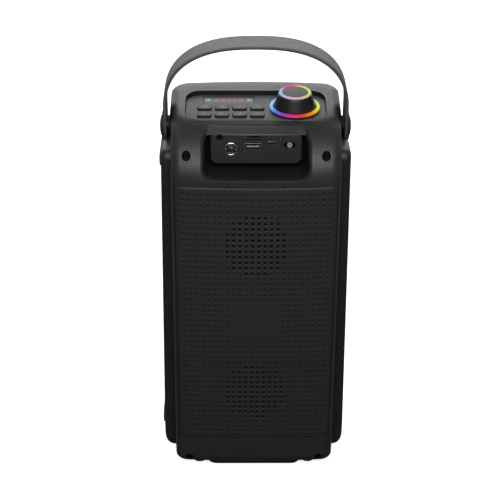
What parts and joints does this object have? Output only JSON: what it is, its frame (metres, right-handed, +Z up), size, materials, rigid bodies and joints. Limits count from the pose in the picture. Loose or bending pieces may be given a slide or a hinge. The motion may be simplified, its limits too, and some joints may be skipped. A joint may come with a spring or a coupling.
{
  "type": "party speaker",
  "caption": "Upright portable party speaker with two drivers behind a grille, vented rear cover, recessed port block, sloping control panel with lit volume knob, and swinging strap handle.",
  "frame": {"origin": "under the middle of the cabinet, on the surface that the base feet stand on", "axes": "+Z up, -Y towards the grille side, +Y towards the vent and port side, X across the width"},
  "size_m": [0.1582, 0.1208, 0.3716],
  "materials": {
    "shell": "fine moulded grain",
    "control_plate": "satin, fine grain",
    "side_panel": "satin",
    "grille": "powder coat, perforated",
    "inner_black": "plain moulded",
    "knob": "soft satin",
    "rubber": "matt",
    "strap": "fine leather grain",
    "light_guide": "diffusing, lit in a colour wheel",
    "display": "smoked window",
    "steel": "zinc plated",
    "chrome": "bright plated",
    "magnet": "ferrite",
    "cone": "pressed fibre",
    "board": "solder mask",
    "battery": "shrink wrap",
    "led": "lit red"
  },
  "bodies": {
    "cabinet": {"rear_shell": "shell", "rear_vent_panel": "shell", "front_shell": "shell", "front_grille": "grille", "front_baffle": "inner_black", "side_panel_left": "side_panel", "side_panel_right": "side_panel", "base_plate": "inner_black", "base_foot_rear_left": "rubber", "base_foot_rear_right": "rubber", "base_foot_front_left": "rubber", "base_foot_front_right": "rubber", "side_foot_upper": "rubber", "side_foot_lower": "rubber", "driver_basket_upper": "steel", "driver_magnet_upper": "magnet", "driver_surround_upper": "rubber", "light_ring_upper": "light_guide", "driver_basket_lower": "steel", "driver_magnet_lower": "magnet", "driver_surround_lower": "rubber", "light_ring_lower": "light_guide", "control_panel": "control_plate", "display_window": "display", "display_module": "inner_black", "button_board": "board", "knob_base_ring": "light_guide", "encoder_body": "steel", "port_housing": "shell", "mic_jack": "chrome", "aux_jack": "inner_black", "card_slot": "inner_black", "usb_port": "chrome", "micro_usb_port": "chrome", "charge_led": "led", "switch_body": "inner_black", "pivot_pin_left": "steel", "strap_cap_left": "side_panel", "pivot_pin_right": "steel", "strap_cap_right": "side_panel", "main_board": "board", "battery_pack": "battery", "screw_left": "steel", "screw_right": "steel"},
    "handle": {"handle_strap": "strap"},
    "volume_knob": {"knob_body": "knob", "knob_cap": "control_plate", "knob_top_ring": "light_guide", "encoder_shaft": "steel"},
    "power_switch": {"switch_slider": "inner_black"},
    "upper_cone": {"driver_cone_upper": "cone"},
    "lower_cone": {"driver_cone_lower": "cone"},
    "key_1": {"button_1": "control_plate"},
    "key_2": {"button_2": "control_plate"},
    "key_3": {"button_3": "control_plate"},
    "key_4": {"button_4": "control_plate"},
    "key_5": {"button_5": "control_plate"},
    "key_6": {"button_6": "control_plate"},
    "key_7": {"button_7": "control_plate"},
    "key_8": {"button_8": "control_plate"}
  },
  "joints": [
    {"name": "handle_swing", "type": "hinge", "parent": "cabinet", "child": "handle", "pos_m": [0, 0, 0.301], "axis": [1, 0, 0], "range_deg": [-38, 38]},
    {"name": "volume_turn", "type": "hinge", "parent": "cabinet", "child": "volume_knob", "pos_m": [-0.0307, 0.00769, 0.31787], "axis": [0, 0.0628, 0.998], "continuous": true},
    {"name": "power_slide", "type": "slide", "parent": "cabinet", "child": "power_switch", "axis": [1, 0, 0], "range_m": [-0.002, 0.002]},
    {"name": "upper_cone_travel", "type": "slide", "parent": "cabinet", "child": "upper_cone", "axis": [0, -1, 0], "range_m": [-0.002, 0.002], "stiffness_N_per_m": 1500},
    {"name": "lower_cone_travel", "type": "slide", "parent": "cabinet", "child": "lower_cone", "axis": [0, -1, 0], "range_m": [-0.002, 0.002], "stiffness_N_per_m": 1500},
    {"name": "key_1_press", "type": "slide", "parent": "cabinet", "child": "key_1", "axis": [0, -0.0628, -0.998], "range_m": [0, 0.0008], "stiffness_N_per_m": 600},
    {"name": "key_2_press", "type": "slide", "parent": "cabinet", "child": "key_2", "axis": [0, -0.0628, -0.998], "range_m": [0, 0.0008], "stiffness_N_per_m": 600},
    {"name": "key_3_press", "type": "slide", "parent": "cabinet", "child": "key_3", "axis": [0, -0.0628, -0.998], "range_m": [0, 0.0008], "stiffness_N_per_m": 600},
    {"name": "key_4_press", "type": "slide", "parent": "cabinet", "child": "key_4", "axis": [0, -0.0628, -0.998], "range_m": [0, 0.0008], "stiffness_N_per_m": 600},
    {"name": "key_5_press", "type": "slide", "parent": "cabinet", "child": "key_5", "axis": [0, -0.0628, -0.998], "range_m": [0, 0.0008], "stiffness_N_per_m": 600},
    {"name": "key_6_press", "type": "slide", "parent": "cabinet", "child": "key_6", "axis": [0, -0.0628, -0.998], "range_m": [0, 0.0008], "stiffness_N_per_m": 600},
    {"name": "key_7_press", "type": "slide", "parent": "cabinet", "child": "key_7", "axis": [0, -0.0628, -0.998], "range_m": [0, 0.0008], "stiffness_N_per_m": 600},
    {"name": "key_8_press", "type": "slide", "parent": "cabinet", "child": "key_8", "axis": [0, -0.0628, -0.998], "range_m": [0, 0.0008], "stiffness_N_per_m": 600}
  ]
}
